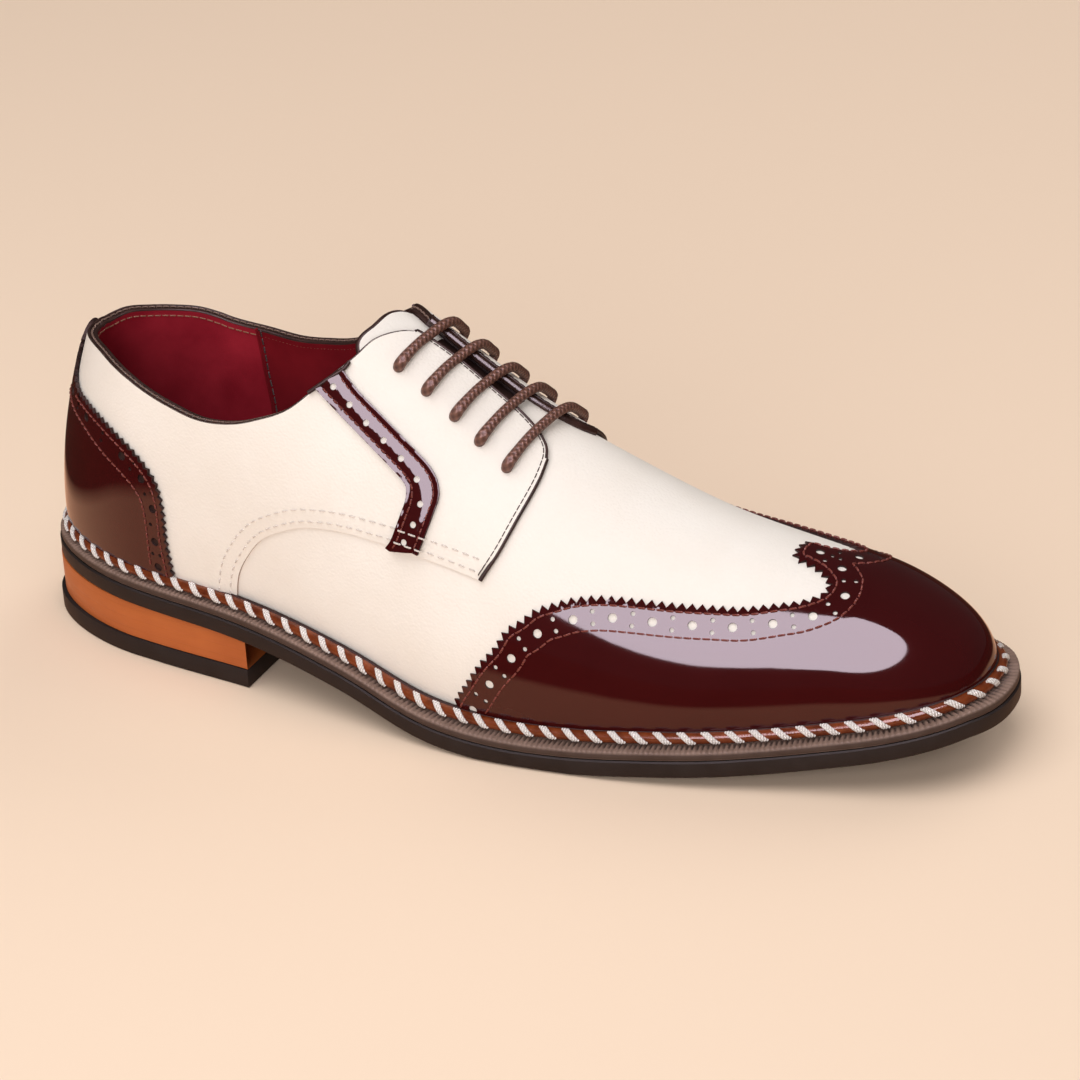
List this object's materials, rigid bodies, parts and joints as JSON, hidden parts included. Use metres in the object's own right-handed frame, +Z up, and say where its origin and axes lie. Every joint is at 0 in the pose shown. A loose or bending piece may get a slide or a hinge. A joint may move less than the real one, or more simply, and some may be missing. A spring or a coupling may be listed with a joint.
{
  "type": "brogue shoe",
  "caption": "Two-tone wing-tip derby brogue: cream leather upper, dark patent wing cap, counter and straps, cord laces, stitched bead on a full welt, low stacked heel.",
  "frame": {"origin": "centre of the sole's plan box, on the floor", "axes": "+X from heel to toe, +Y to the medial side, +Z up from the floor"},
  "size_m": [0.3024, 0.0986, 0.1084],
  "materials": {
    "cream_leather": "smooth cream calf",
    "patent_leather": "high gloss patent",
    "insole": "matt",
    "bead": "polished",
    "welt": "matt",
    "black_rubber": "matt",
    "heel_block": "burnished",
    "lace": "waxed cord"
  },
  "bodies": {
    "root": {"upper": "cream_leather", "quarter_lateral": "cream_leather", "quarter_medial": "cream_leather", "tongue": "cream_leather", "wing_cap": "patent_leather", "counter": "patent_leather", "strap_lateral": "patent_leather", "strap_medial": "patent_leather", "insole": "insole", "rand": "bead", "welt": "welt", "outsole": "black_rubber", "heel_lift": "black_rubber", "heel_stack": "heel_block", "lace_bar_1": "lace", "lace_bar_2": "lace", "lace_bar_3": "lace", "lace_bar_4": "lace", "lace_bar_5": "lace"}
  },
  "joints": []
}
